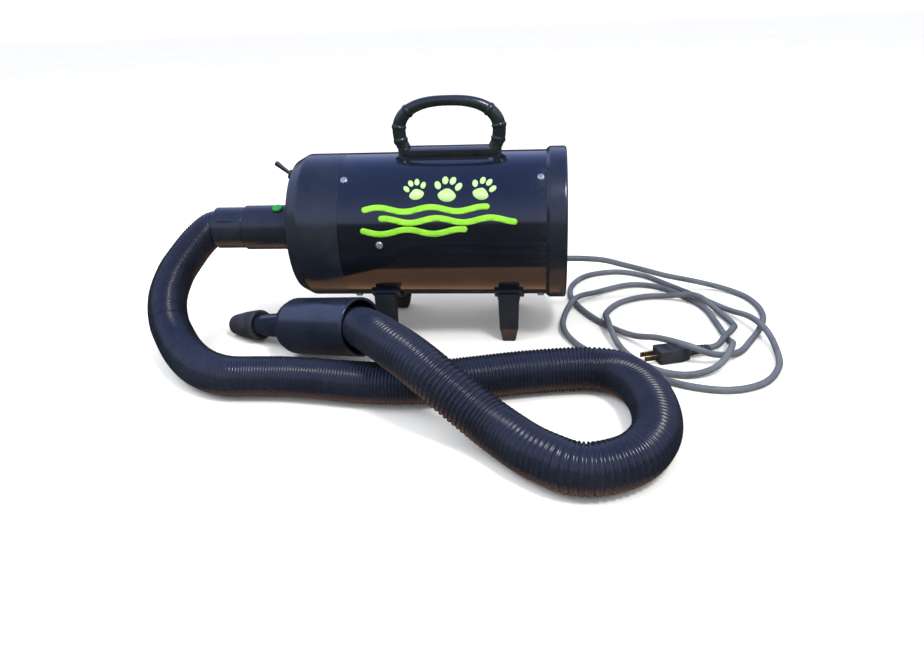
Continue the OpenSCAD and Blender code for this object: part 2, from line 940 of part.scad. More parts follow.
module gland_nut() {
    color("#14161a")
        difference() {
            translate([panel_x - 6.5, gland_y, gland_z])
                rotate([0, 90, 0])
                    cylinder(r = 9.5, h = 4.4, $fn = 6);
            rod_x(panel_x - 8, panel_x, 6.45, gland_y, gland_z);
        }
}

module power_cord() {
    path = smooth_route(lead_route, 84);
    color("#5d6270")
        solid_cord(path, [for (p = path) lead_r], 8);
}

module plug_body() {
    outline = rounded(
        [[0, -7.5], [0, 7.5], [-12, 11.5], [-40, 12], [-40, -12], [-12, -11.5]],
        [2, 2, 6, 3, 3, 6]);
    color("#22252b")
        at_plug()
            difference() {
                translate([0, 0, -8])
                    linear_extrude(16)
                        polygon(outline);
                for (side = [-1, 1])
                    translate([-41, side * blade_pitch / 2 - 0.8, -3.2])
                        cube([9, 1.6, 6.4]);
            }
}

module plug_pins() {
    color("#c9b26a")
        at_plug()
            for (side = [-1, 1])
                translate([-57, side * blade_pitch / 2 - 0.75, -3.15])
                    cube([24.9, 1.5, 6.3]);
}

module plug_strain_relief() {
    color("#22252b")
        at_plug()
            rotate([0, 90, 0])
                rotate_extrude($fn = 48)
                    polygon([[0, 0], [6.5, 0], [lead_r + 0.8, 24], [0, 24]]);
}

module hose() {
    path = smooth_route(hose_route, 79);
    color("#1b2030")
        hollow_tube(path, hose_r, hose_r - hose_wall, 12);
}

module hose_cuff() {
    color("#20242d") {
        spin_x(outlet_z)
            polygon(rounded(
                [
                    [cuff_r, coupling_step - 0.3], [spigot_r + 0.2, coupling_step - 0.3],
                    [spigot_r + 0.2, coupling_mouth - 0.3], [22, coupling_mouth - 0.3],
                    [22, coupling_mouth + 20],
                    [20, coupling_mouth + 20], [20, coupling_mouth - 12], [22.9, coupling_mouth - 12],
                    [22.9, cuff_end + 8], [24.3, cuff_end], [cuff_r, cuff_end]
                ],
                [0.8, 0, 0, 0, 1, 0, 0, 0, 0, 0.4, 1.2]));
        // Raised key on the cuff's near side.
        radial(coupling_mouth - 22, 35, outlet_z)
            translate([0, -1.6, 25.5])
                cube([19, 3.2, 2.6]);
    }
}

module wand_sleeve() {
    color("#1d2330")
        at_wand()
            rotate([0, 90, 0])
                rotate_extrude($fn = 144)
                    polygon(rounded(
                        [
                            [17.05, 0], [sleeve_r - 4.5, 0], [sleeve_r, 11], [sleeve_r, sleeve_len],
                            [sleeve_r - 3.5, sleeve_len], [sleeve_r - 3.5, 12], [17.05, 12]
                        ],
                        [0, 3, 9, 1.5, 1.5, 2, 0]));
}

// Collar inside the sleeve that the hose screws into.
module hose_collar() {
    color("#20242d")
        at_wand()
            rotate([0, 90, 0])
                rotate_extrude()
                    polygon([
                        [20, 12.5], [sleeve_r - 6.4, 12.5], [sleeve_r - 3.6, 15.5],
                        [sleeve_r - 3.6, 62], [hose_r + 1.2, 62], [hose_r + 1.2, 14], [20, 14]
                    ]);
}

module nozzle() {
    color("#1d2330")
        at_wand()
            rotate([0, 90, 0])
                rotate_extrude()
                    polygon([
                        [nozzle_bore, 12.2], [nozzle_bore, nozzle_end + 5], [11, nozzle_end + 5],
                        [11.2, -65], [13.6, -61], [16.6, -1], [17, -0.5], [17, 12.2]
                    ]);
}

module nozzle_tip() {
    color("#2a2d35")
        at_wand()
            rotate([0, 90, 0])
                rotate_extrude()
                    polygon(rounded(
                        [
                            [16, -60.5], [19.2, -60.5], [19.4, -65], [17.2, -86], [12.6, nozzle_end],
                            [nozzle_bore, nozzle_end], [nozzle_bore, nozzle_end + 4.8],
                            [11.2, nozzle_end + 4.8], [11.4, -66], [13.8, -62]
                        ],
                        [0, 1.6, 2, 20, 3, 1, 0, 0, 0, 0]));
}

barrel_shell();
front_cap();
outlet_coupling();
lock_button();
lock_spring();
rear_cap();
rear_panel();
filter_cover();
foam_filter();
carry_handle();
handle_base();
handle_screws();
foot_bracket_front();
foot_bracket_rear();
rubber_foot_front_near();
rubber_foot_front_far();
rubber_foot_rear_near();
rubber_foot_rear_far();
foot_bolts();
foot_nuts();
front_cap_screws();
rear_cap_screws();
motor_mount_screws();
motor_baffle();
motor_gasket();
fan_housing();
stage_diffuser();
motor_frame();
stator_core();
field_coils();
brush_holders();
carbon_brushes();
front_bearing();
rear_bearing();
motor_shaft();
armature_core();
armature_windings();
commutator();
impeller_first();
impeller_second();
impeller_spacer();
impeller_nut();
toggle_switch_body();
switch_nut();
toggle_lever();
wiring_harness();
cord_gland();
gland_nut();
power_cord();
plug_body();
plug_pins();
plug_strain_relief();
hose();
hose_cuff();
wand_sleeve();
hose_collar();
nozzle();
nozzle_tip();
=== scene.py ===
import json
from math import cos, pi, radians, sin, tau

import bmesh
import bpy
from mathutils import Matrix, Vector


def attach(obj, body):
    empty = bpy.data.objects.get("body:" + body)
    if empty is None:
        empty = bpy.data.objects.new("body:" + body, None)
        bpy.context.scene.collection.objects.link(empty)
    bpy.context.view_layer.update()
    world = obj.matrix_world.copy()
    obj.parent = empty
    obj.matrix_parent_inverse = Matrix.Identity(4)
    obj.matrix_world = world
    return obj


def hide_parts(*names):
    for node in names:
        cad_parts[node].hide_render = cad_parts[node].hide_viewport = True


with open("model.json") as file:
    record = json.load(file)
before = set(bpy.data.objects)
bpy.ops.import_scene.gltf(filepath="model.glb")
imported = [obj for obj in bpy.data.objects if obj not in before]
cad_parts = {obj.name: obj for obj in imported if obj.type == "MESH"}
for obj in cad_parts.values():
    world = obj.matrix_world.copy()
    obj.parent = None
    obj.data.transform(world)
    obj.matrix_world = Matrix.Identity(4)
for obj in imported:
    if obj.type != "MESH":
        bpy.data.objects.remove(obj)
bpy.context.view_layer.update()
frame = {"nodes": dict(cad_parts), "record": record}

# Sizes that the new pieces share with the frame, in metres.
BARREL_R = 0.090
AXIS_Z = 0.135
HOSE_D = 0.0454
LEAD_D = 0.0076
HANDLE_X = 0.0685
PLUG_AT = Vector((0.352, -0.112, 0.0085))
PLUG_TURN = radians(18)


# The camera stands in front of the dryer and a little above it, turned to its left.

def make_camera():
    place = (0.181, -0.975, 0.398)
    yaw, down, roll = radians(-6.19), radians(22.38), radians(-2.24)
    level = Matrix.Rotation(-yaw, 4, "Z") @ Matrix.Rotation(pi / 2 - down, 4, "X")
    turn = level @ Matrix.Rotation(roll, 4, "Z")
    data = bpy.data.cameras.new("camera")
    data.sensor_width = 36
    data.lens = 30.76
    camera = bpy.data.objects.new("camera", data)
    camera.matrix_world = Matrix.Translation(place) @ turn
    bpy.context.scene.collection.objects.link(camera)
    bpy.context.scene.camera = camera


make_camera()


# Short ways to build pieces.

def new_piece(name, bm, body, material, replaces=()):
    """Turns a bmesh into a piece that rides on a body."""
    mesh = bpy.data.meshes.new(name)
    bmesh.ops.recalc_face_normals(bm, faces=bm.faces)
    bm.to_mesh(mesh)
    bm.free()
    mesh.materials.append(material)
    mesh.shade_smooth()
    piece = bpy.data.objects.new(name, mesh)
    bpy.context.scene.collection.objects.link(piece)
    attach(piece, body)
    if replaces:
        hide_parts(*replaces)
    return piece


def along_route(points, t):
    """The point at t on the smooth curve through a route's points, where t counts the points."""
    i = min(int(t), len(points) - 2)
    a, b = points[max(i - 1, 0)], points[i]
    c, d = points[i + 1], points[min(i + 2, len(points) - 1)]
    t -= i
    bend, twist = 2 * a - 5 * b + 4 * c - d, 3 * b - a - 3 * c + d
    return 0.5 * (2 * b + (c - a) * t + bend * t * t + twist * t ** 3)


class Line:
    """A smooth line through a route, measured by its length."""

    def __init__(self, route, step=0.1):
        points = [Vector(p) for p in route]
        count = round((len(points) - 1) / step)
        self.points = [along_route(points, (len(points) - 1) * k / count) for k in range(count + 1)]
        self.lengths = [0.0]
        for a, b in zip(self.points, self.points[1:]):
            self.lengths.append(self.lengths[-1] + (b - a).length)
        self.length = self.lengths[-1]
        self.index = 0

    def at(self, s):
        """The point at length s, and the line's direction there."""
        while self.index < len(self.points) - 2 and self.lengths[self.index + 1] < s:
            self.index += 1
        while self.index > 0 and self.lengths[self.index] > s:
            self.index -= 1
        i = self.index
        t = (s - self.lengths[i]) / (self.lengths[i + 1] - self.lengths[i])
        before, after = self.points[max(i - 1, 0)], self.points[min(i + 2, len(self.points) - 1)]
        here = (self.points[i + 1] - before).lerp(after - self.points[i], t)
        return self.points[i].lerp(self.points[i + 1], t), here.normalized()


def upright(along):
    """Two directions square to a line, the second one as near to straight up as can be."""
    across = along.cross(Vector((0, 0, 1))).normalized()
    return across, across.cross(along)


# The cords: the stretch hose and the mains lead.

HOSE_ROUTE = [
    (-0.226, 0, 0.132), (-0.243, 0, 0.132), (-0.252, -0.002, 0.129), (-0.262, -0.008, 0.1215),
    (-0.271, -0.017, 0.112), (-0.28, -0.031, 0.099), (-0.286, -0.046, 0.088),
    (-0.288, -0.064, 0.076), (-0.287, -0.08, 0.066), (-0.283, -0.095, 0.057),
    (-0.277, -0.109, 0.048), (-0.267, -0.125, 0.039), (-0.237, -0.164, 0.0275),
    (-0.202, -0.199, 0.024), (-0.166, -0.219, 0.024), (-0.133, -0.22, 0.024),
    (-0.098, -0.22, 0.024), (-0.062, -0.224, 0.024), (-0.019, -0.231, 0.024),
    (0.016, -0.234, 0.024), (0.051, -0.232, 0.024), (0.085, -0.226, 0.024), (0.118, -0.217, 0.024),
    (0.153, -0.207, 0.024), (0.189, -0.199, 0.024), (0.225, -0.194, 0.024), (0.249, -0.197, 0.024),
    (0.267, -0.209, 0.024), (0.281, -0.231, 0.024), (0.289, -0.261, 0.024), (0.291, -0.295, 0.024),
    (0.287, -0.327, 0.024), (0.277, -0.353, 0.024), (0.262, -0.374, 0.024), (0.243, -0.387, 0.024),
    (0.223, -0.393, 0.024), (0.205, -0.39, 0.024), (0.19, -0.38, 0.024), (0.171, -0.364, 0.024),
    (0.152, -0.343, 0.025), (0.132, -0.325, 0.03), (0.111, -0.312, 0.041), (0.088, -0.3, 0.055),
    (0.069, -0.288, 0.0655), (0.048, -0.269, 0.0725), (0.03, -0.251, 0.0755),
    (0.014, -0.231, 0.0755), (0, -0.209, 0.072), (-0.012, -0.186, 0.066), (-0.022, -0.164, 0.059),
    (-0.037, -0.1495, 0.0535), (-0.072, -0.1285, 0.0452), (-0.1113, -0.1058, 0.0365),
]

LEAD_ROUTE = [
    (0.211, 0.028, 0.078), (0.236, 0.03, 0.077), (0.264, 0.041, 0.071), (0.292, 0.057, 0.059),
    (0.323, 0.076, 0.045), (0.354, 0.094, 0.031), (0.386, 0.111, 0.019), (0.416, 0.118, 0.01),
    (0.443, 0.108, 0.00512), (0.462, 0.082, 0.00412), (0.47, 0.045, 0.00412),
    (0.467, 0.005, 0.00412), (0.453, -0.034, 0.00412), (0.434, -0.07, 0.00412),
    (0.412, -0.106, 0.00462), (0.38, -0.13, 0.012), (0.347, -0.128, 0.023), (0.318, -0.103, 0.021),
    (0.294, -0.068, 0.009), (0.267, -0.028, 0.00462), (0.24, 0.022, 0.00432),
    (0.224, 0.075, 0.00412), (0.226, 0.128, 0.00412), (0.25, 0.173, 0.00412),
    (0.294, 0.191, 0.00412), (0.333, 0.174, 0.00412), (0.364, 0.132, 0.00412),
    (0.398, 0.078, 0.00462), (0.427, 0.024, 0.007), (0.444, -0.018, 0.014), (0.453, -0.062, 0.014),
    (0.455, -0.104, 0.006), (0.446, -0.147, 0.00462), (0.42, -0.186, 0.00412),
    (0.38, -0.203, 0.00412), (0.335, -0.192, 0.00412), (0.295, -0.162, 0.00412),
    (0.256, -0.126, 0.00412), (0.222, -0.08, 0.00462), (0.209, -0.025, 0.007),
    (0.226, 0.042, 0.015), (0.262, 0.097, 0.006), (0.308, 0.13, 0.00462), (0.346, 0.124, 0.00412),
    (0.375, 0.09, 0.00412), (0.398, 0.042, 0.00412), (0.404, -0.012, 0.00412),
    (0.406, -0.068, 0.00512), (0.401, -0.116, 0.018), (0.378, -0.152, 0.008),
    (0.342, -0.168, 0.00462), (0.304, -0.15, 0.00462), (0.276, -0.098, 0.006),
    (0.265, -0.032, 0.015), (0.268, 0.016, 0.006), (0.288, 0.056, 0.00462), (0.322, 0.079, 0.00462),
    (0.358, 0.08, 0.006), (0.391, 0.057, 0.015), (0.414, 0.02, 0.006), (0.423, -0.024, 0.006),
    (0.412, -0.067, 0.018), (0.4, -0.086, 0.0172), (0.3885, -0.099, 0.0105),
    (0.3757, -0.1043, 0.0085),
]

# The hose's ridges change along its length: (distance from the cuff, size), in metres.
RIDGE_PITCHES = [
    (0, 0.0030), (0.36, 0.0031), (0.60, 0.0036), (0.78, 0.0046), (0.90, 0.0057), (1.12, 0.0057),
    (1.25, 0.0046), (1.40, 0.0036),
]
RIDGE_DEPTHS = [
    (0.015, 0.0004), (0.04, 0.0013), (0.14, 0.0012), (0.26, 0.0007), (0.36, 0.0007), (0.46, 0.0014),
    (0.60, 0.0020), (0.80, 0.0026), (1.15, 0.0028), (1.30, 0.0023), (1.42, 0.0010),
]
RIDGE_CRESTS = [
    (0.02, 0.0224), (0.12, 0.0234), (0.28, 0.0234), (0.36, 0.0221), (0.45, 0.0222), (0.60, 0.0236),
    (1.20, 0.0240), (1.35, 0.0236), (1.42, 0.0225),
]
# One ridge: (share of the pitch, share of the depth below the crest).
RIDGE_SHAPE = [(0, 1.0), (0.2, 0.42), (0.4, 0.04), (0.6, 0.04), (0.8, 0.42)]


def between(stops, x):
    """The value at x on a line of straight stretches through the stops."""
    for (x0, y0), (x1, y1) in zip(stops, stops[1:]):
        if x <= x1:
            return y0 + (y1 - y0) * max(0, x - x0) / (x1 - x0)
    return stops[-1][1]


def make_hose(material):
    line = Line(HOSE_ROUTE)
    wall = 0.0036
    inside = HOSE_D / 2 - wall
    sides, inner_steps, path_steps = 44, 110, 400
    profile = []
    s = 0.0
    while s < line.length:
        pitch = between(RIDGE_PITCHES, s)
        depth = between(RIDGE_DEPTHS, s)
        crest = between(RIDGE_CRESTS, s)
        for share, drop in RIDGE_SHAPE:
            profile.append((crest - drop * depth, s + share * pitch))
        s += pitch
    profile = [(r, at) for r, at in profile if at < line.length]
    profile += [(inside, line.length * k / inner_steps) for k in range(inner_steps, -1, -1)]
    bm = bmesh.new()
    verts = [bm.verts.new((r, 0, at)) for r, at in profile]
    edges = [bm.edges.new((a, b)) for a, b in zip(verts, verts[1:] + verts[:1])]
    bmesh.ops.spin(
        bm, geom=verts + edges, axis=(0, 0, 1), cent=(0, 0, 0), steps=sides, angle=tau, use_merge=True)
    for v in bm.verts:
        centre, along = line.at(v.co.z)
        across, up = upright(along)
        v.co = centre + across * v.co.x + up * v.co.y
    piece = new_piece("stretch_hose", bm, "body", material, replaces=["hose"])
    path = [line.at(line.length * k / path_steps)[0] for k in range(path_steps + 1)]


def make_lead(material):
    line = Line(LEAD_ROUTE)
    curve = bpy.data.curves.new("mains_lead", "CURVE")
    curve.dimensions = "3D"
    curve.bevel_depth = LEAD_D / 2
    curve.bevel_resolution = 5
    curve.use_fill_caps = True
    spline = curve.splines.new("POLY")
    spline.points.add(len(line.points) - 1)
    for p, co in zip(spline.points, line.points):
        p.co = (*co, 1)
    spline.use_smooth = True
    curve.materials.append(material)
    lead = bpy.data.objects.new("mains_lead", curve)
    bpy.context.scene.collection.objects.link(lead)
    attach(lead, "body")
    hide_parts("power_cord")


# Materials. Every pattern is laid on Object coordinates, in metres.

def set_ramp(ramp, stops):
    """Sets a colour ramp: each stop is (place, red, green, blue)."""
    while len(ramp.elements) < len(stops):
        ramp.elements.new(0.5)
    for element, (at, *rgb) in zip(ramp.elements, stops):
        element.position = at
        element.color = (*rgb, 1)


class Finish:
    """A material that is being put together, and short ways to wire its nodes."""

    def __init__(self, name, **sockets):
        self.material = bpy.data.materials.new(name)
        self.material.use_nodes = True
        self.nodes = self.material.node_tree.nodes
        self.links = self.material.node_tree.links
        self.shader = self.nodes["Principled BSDF"]
        self.place = self.nodes.new("ShaderNodeTexCoord").outputs["Object"]
        for socket, value in sockets.items():
            self.shader.inputs[socket.replace("_", " ")].default_value = value

    def stretched(self, scale):
        """Object coordinates, squeezed or stretched along each axis."""
        node = self.nodes.new("ShaderNodeMapping")
        node.inputs["Scale"].default_value = scale
        self.links.new(self.place, node.inputs["Vector"])
        return node.outputs["Vector"]

    def noise(self, scale, detail=3, roughness=0.5, where=None):
        node = self.nodes.new("ShaderNodeTexNoise")
        node.inputs["Scale"].default_value = scale
        node.inputs["Detail"].default_value = detail
        node.inputs["Roughness"].default_value = roughness
        self.links.new(where or self.place, node.inputs["Vector"])
        return node.outputs["Fac"]

    def cells(self, scale, where=None):
        node = self.nodes.new("ShaderNodeTexVoronoi")
        node.inputs["Scale"].default_value = scale
        self.links.new(where or self.place, node.inputs["Vector"])
        return node.outputs["Distance"]

    def spread(self, value, low, high, to_low, to_high):
        """The value's stretch from low to high, laid out from to_low to to_high."""
        node = self.nodes.new("ShaderNodeMapRange")
        self.links.new(value, node.inputs["Value"])
        node.inputs["From Min"].default_value = low
        node.inputs["From Max"].default_value = high
        node.inputs["To Min"].default_value = to_low
        node.inputs["To Max"].default_value = to_high
        return node.outputs["Result"]

    def colours(self, value, *stops):
        node = self.nodes.new("ShaderNodeValToRGB")
        set_ramp(node.color_ramp, stops)
        self.links.new(value, node.inputs["Fac"])
        return node.outputs["Color"]

    def sum(self, a, b, share):
        """A value with a share of a second one added to it."""
        node = self.nodes.new("ShaderNodeMath")
        node.operation = "MULTIPLY_ADD"
        self.links.new(b, node.inputs[0])
        node.inputs[1].default_value = share
        self.links.new(a, node.inputs[2])
        return node.outputs["Value"]

    def colour(self, value, *stops):
        self.links.new(self.colours(value, *stops), self.shader.inputs["Base Color"])

    def rough(self, value, low, high, at=(0.35, 0.65)):
        self.links.new(self.spread(value, *at, low, high), self.shader.inputs["Roughness"])

    def bump(self, height, strength, depth):
        node = self.nodes.new("ShaderNodeBump")
        node.inputs["Strength"].default_value = strength
        node.inputs["Distance"].default_value = depth
        self.links.new(height, node.inputs["Height"])
        self.links.new(node.outputs["Normal"], self.shader.inputs["Normal"])


def black_enamel():
    """Gloss enamel on the steel barrel: a little orange peel, fine rubbing marks and dust."""
    f = Finish("black_enamel", Coat_Weight=0.35, Coat_Roughness=0.04, Specular_IOR_Level=0.5)
    dust = f.noise(240, 4, 0.7)
    f.colour(
        f.sum(f.noise(9, 4), dust, 0.35),
        (0.35, 0.0035, 0.004, 0.006), (0.75, 0.008, 0.010, 0.015), (0.95, 0.03, 0.032, 0.036))
    rubbed = f.noise(60, 5, 0.65, f.stretched((0.08, 1, 1)))
    f.rough(f.sum(f.noise(14, 3), rubbed, 0.6), 0.07, 0.17, (0.55, 1.1))
    f.bump(f.noise(420, 2), 0.06, 0.0002)
    return f.material


def moulded(name, dark, light, smooth, dull, grain=900, depth=0.00012, gloss=0.5):
    """Injection-moulded plastic: a fine grain, with scuffs that change its sheen."""
    f = Finish(name, Specular_IOR_Level=gloss)
    f.colour(f.noise(22, 5, 0.6), (0.3, *dark), (0.7, *light))
    f.rough(f.sum(f.noise(18, 4, 0.6), f.noise(170, 3), 0.5), smooth, dull, (0.5, 1.0))
    f.bump(f.sum(f.cells(grain), f.noise(grain * 0.5, 3), 0.6), 0.22, depth)
    return f.material


def rubbery(name, dark, light, rough=0.7):
    """Soft rubber: matt, dusty in its hollows."""
    f = Finish(name, Specular_IOR_Level=0.35)
    f.colour(f.noise(45, 5, 0.65), (0.35, *dark), (0.72, *light))
    f.rough(f.noise(80, 4), rough - 0.12, rough + 0.1)
    f.bump(f.noise(700, 4, 0.6), 0.35, 0.0002)
    return f.material


def plated_steel(name, tone=(0.62, 0.63, 0.65), rough=0.26):
    """Zinc-plated steel: mottled, with fine turning marks."""
    f = Finish(name, Metallic=0.75)
    darker = tuple(c * 0.72 for c in tone)
    f.colour(f.noise(160, 4, 0.6), (0.3, *darker), (0.7, *tone))
    f.rough(f.noise(420, 3), rough - 0.08, rough + 0.12)
    f.bump(f.noise(1500, 2, 0.5, f.stretched((1, 1, 0.25))), 0.15, 0.00005)
    return f.material


def cast_metal(name, tone, rough=0.42):
    """Cast aluminium: a sandy skin."""
    f = Finish(name, Metallic=1.0)
    darker = tuple(c * 0.75 for c in tone)
    f.colour(f.noise(90, 5, 0.6), (0.3, *darker), (0.7, *tone))
    f.rough(f.noise(240, 4), rough - 0.1, rough + 0.14)
    f.bump(f.noise(900, 4, 0.6), 0.3, 0.00015)
    return f.material


def copper_winding():
    """Enamelled copper wire, wound in close turns, with painted shade darkening the grooves between the
    turns.
    """
    f = Finish("copper_winding", Metallic=0.85, Coat_Weight=0.5, Coat_Roughness=0.12)
    turns = f.noise(900, 1, 0.4, f.stretched((0.05, 1, 1)))
    # The turns pattern also sets the colour, darkest where the bump sinks into the grooves: painted shade.
    f.colour(turns, (0.35, 0.26, 0.09, 0.03), (0.6, 0.62, 0.27, 0.11))
    f.rough(f.noise(200, 3), 0.22, 0.36)
    f.bump(turns, 0.6, 0.0003)
    return f.material


def open_foam():
    """Reticulated foam: lighter strands, with painted shade darkening the holes between them."""
    f = Finish("open_foam", Specular_IOR_Level=0.2, Roughness=0.95)
    holes = f.cells(650)
    # The colour is darkest in the middle of each cell, where the bump sinks the hole: painted shade.
    f.colour(holes, (0.2, 0.008, 0.009, 0.010), (0.6, 0.07, 0.075, 0.08))
    f.bump(holes, 1.0, 0.0012)
    return f.material


def lead_jacket():
    """Grey PVC jacket of the mains lead, slightly ribbed by the wires in it."""
    f = Finish("lead_jacket", Specular_IOR_Level=0.45)
    f.colour(
        f.sum(f.noise(30, 4, 0.6), f.noise(300, 3), 0.3),
        (0.4, 0.070, 0.080, 0.098), (0.85, 0.135, 0.150, 0.175))
    f.rough(f.noise(120, 4), 0.38, 0.55)
    f.bump(f.noise(500, 3), 0.25, 0.00015)
    return f.material


def hose_skin():
    """Blue-black polyethylene of the stretch hose, dusty in its grooves."""
    f = Finish("hose_skin", Specular_IOR_Level=0.42)
    f.colour(
        f.sum(f.noise(12, 4, 0.6), f.noise(160, 4, 0.6), 0.4),
        (0.45, 0.006, 0.008, 0.016), (0.95, 0.015, 0.019, 0.032))
    f.rough(f.sum(f.noise(30, 4), f.noise(260, 3), 0.4), 0.20, 0.34, (0.5, 0.9))
    f.bump(f.noise(800, 3, 0.6), 0.12, 0.0001)
    return f.material


def vinyl(name, colour, shade):
    """Cut vinyl film, a little uneven where air is left under it."""
    f = Finish(name, Specular_IOR_Level=0.4)
    f.colour(f.noise(70, 3), (0.3, *shade), (0.7, *colour))
    f.rough(f.noise(50, 3), 0.34, 0.46)
    f.bump(f.noise(130, 3), 0.1, 0.0002)
    return f.material


def worn_brass():
    """Worn brass of the plug's pins, with fine marks along them."""
    f = Finish("worn_brass", Metallic=1.0)
    f.colour(f.noise(150, 5, 0.6), (0.3, 0.32, 0.22, 0.09), (0.7, 0.72, 0.55, 0.27))
    f.rough(f.noise(380, 4), 0.24, 0.42)
    f.bump(f.noise(1200, 2, 0.5, f.stretched((0.1, 1, 1))), 0.2, 0.00006)
    return f.material


cap_plastic = moulded(
    "cap_plastic_skin", (0.009, 0.012, 0.018), (0.017, 0.022, 0.032), 0.17, 0.27, 900, 0.00005)
coupling_plastic = moulded(
    "coupling_plastic_skin", (0.009, 0.012, 0.018), (0.017, 0.021, 0.031), 0.18, 0.30, 700, 0.00006)
wand_plastic = moulded(
    "wand_plastic_skin", (0.008, 0.012, 0.024), (0.016, 0.022, 0.040), 0.16, 0.30, 500, 0.00006, 0.6)
handle_plastic = moulded(
    "handle_plastic_skin", (0.006, 0.009, 0.009), (0.016, 0.021, 0.020), 0.17, 0.33, 450, 0.00010, 0.6)
bracket_plastic = moulded(
    "bracket_plastic_skin", (0.008, 0.010, 0.014), (0.018, 0.022, 0.028), 0.34, 0.52, 600)
black_plastic = moulded(
    "black_plastic_skin", (0.008, 0.009, 0.011), (0.020, 0.022, 0.026), 0.28, 0.46, 800)
panel_enamel = moulded(
    "panel_enamel_skin", (0.010, 0.012, 0.016), (0.022, 0.025, 0.031), 0.26, 0.42, 500)
button_green = moulded(
    "button_green_skin", (0.004, 0.20, 0.020), (0.010, 0.34, 0.040), 0.22, 0.34, 800, 0.00006)
foot_rubber = rubbery("foot_rubber_skin", (0.030, 0.018, 0.012), (0.066, 0.042, 0.028))
tip_rubber = rubbery("tip_rubber_skin", (0.018, 0.020, 0.027), (0.042, 0.046, 0.058), 0.58)
plug_rubber = rubbery("plug_rubber_skin", (0.018, 0.021, 0.026), (0.038, 0.043, 0.052), 0.5)
zinc_steel = plated_steel("zinc_steel_skin")
motor_steel = plated_steel("motor_steel_skin", (0.42, 0.43, 0.45), 0.34)
cast_aluminium = cast_metal("cast_aluminium_skin", (0.66, 0.67, 0.69))
enamel = black_enamel()
foam = open_foam()
copper = copper_winding()
brass = worn_brass()
carbon = rubbery("brush_carbon_skin", (0.010, 0.010, 0.011), (0.030, 0.030, 0.032), 0.5)
red_wire = rubbery("red_wire_skin", (0.16, 0.02, 0.012), (0.30, 0.05, 0.03), 0.42)
grey_pvc = lead_jacket()
blue_black_hose = hose_skin()
lime_vinyl = vinyl("lime_vinyl", (0.27, 0.66, 0.035), (0.21, 0.56, 0.025))
mint_vinyl = vinyl("mint_vinyl", (0.50, 0.80, 0.33), (0.42, 0.72, 0.26))

SLOT_FINISH = {
    "barrel_paint": enamel, "cap_plastic": cap_plastic, "coupling_plastic": coupling_plastic,
    "button_green": button_green, "zinc_steel": zinc_steel, "panel_paint": panel_enamel,
    "cover_plastic": black_plastic, "filter_foam": foam, "handle_plastic": handle_plastic,
    "bracket_plastic": bracket_plastic, "foot_rubber": foot_rubber, "housing_aluminium": cast_aluminium,
    "motor_steel": motor_steel, "winding_copper": copper, "brush_carbon": carbon,
    "lever_black": handle_plastic, "wire_red": red_wire, "gland_black": black_plastic,
    "lead_grey": grey_pvc, "plug_black": plug_rubber, "pin_brass": brass,
    "hose_plastic": blue_black_hose, "wand_plastic": wand_plastic, "tip_rubber": tip_rubber,
}
node_slots = {row["node"]: row["material_slot"] for row in frame["record"]["subparts"]}
for node_name, node_object in frame["nodes"].items():
    finish_of_node = SLOT_FINISH[node_slots[node_name]]
    for place in node_object.material_slots:
        place.material = finish_of_node


def body_of_node(name):
    bodies = frame["record"]["behaviour"]["bodies"]
    return next(body for body, members in bodies.items() if name in members)


def eased(node, width, segments=2, sharp=30):
    """A copy of a CAD node with its sharp edges rounded over, which stands for that node."""
    bm = bmesh.new()
    bm.from_mesh(frame["nodes"][node].data)
    bmesh.ops.remove_doubles(bm, verts=bm.verts, dist=1e-6)
    bmesh.ops.dissolve_limit(bm, angle_limit=radians(0.5), verts=bm.verts, edges=bm.edges)
    corners = [e for e in bm.edges if e.is_manifold and e.calc_face_angle() > radians(sharp)]
    bmesh.ops.bevel(
        bm, geom=corners, offset=width, offset_type="OFFSET", affect="EDGES", segments=segments,
        profile=0.5, material=-1, clamp_overlap=True)
    slot = node_slots[node]
    piece = new_piece(node + "_eased", bm, body_of_node(node), SLOT_FINISH[slot], replaces=[node])
    piece.data.set_sharp_from_angle(angle=radians(34))
    return piece


make_hose(blue_black_hose)


# The carry handle: an oval loop with raised beads, that stands in the base plate.

def power(value, exponent):
    """A power that keeps the value's sign."""
    return (1 if value >= 0 else -1) * abs(value) ** exponent


def make_handle():
    centre_z, rise, drop, reach = 0.252, 0.03475, 0.042, 0.0615
    thin, upright_extra, bead_rise = 0.00625, 0.0019, 0.0011
    start_angle, rings, sides = -30, 240, 36
    beads, near = (-14, 6, 40, 140, 174, 194), 3.8
    bm = bmesh.new()

    def ring(k):
        """The loop's centre and radius at ring k; the rings are a degree apart."""
        a = k + start_angle
        c, s = cos(radians(a)), sin(radians(a))
        swell = bead_rise * max(max(0.0, 1 - ((a - bead) / near) ** 2) for bead in beads)
        r = thin + upright_extra * abs(c) ** 1.5 + swell
        half_height = drop if s < 0 else rise
        return Vector((HANDLE_X + reach * power(c, 0.8), 0, centre_z + half_height * power(s, 0.9))), r

    line = [ring(k) for k in range(rings + 1)]
    loop = bmesh.ops.create_circle(bm, segments=sides, radius=1, cap_ends=True)["verts"]
    side = Vector((0, 1, 0))
    before = Matrix.Identity(4)
    edges = bm.edges[:]
    for k, (at, r) in enumerate(line):
        along = (line[min(k + 1, rings)][0] - line[max(k - 1, 0)][0]).normalized()
        up = side.cross(along)
        place = Matrix((side * r, up * r, along)).transposed().to_4x4()
        place.translation = at
        if k:
            made = bmesh.ops.extrude_edge_only(bm, edges=edges)["geom"]
            loop = [g for g in made if isinstance(g, bmesh.types.BMVert)]
            edges = [g for g in made if isinstance(g, bmesh.types.BMEdge)]
        step = place @ before.inverted()
        for v in loop:
            v.co = step @ v.co
        before = place
    bmesh.ops.holes_fill(bm, edges=[e for e in bm.edges if e.is_boundary], sides=sides + 1)
    piece = new_piece("handle_loop", bm, "body", handle_plastic, replaces=["carry_handle"])


make_handle()

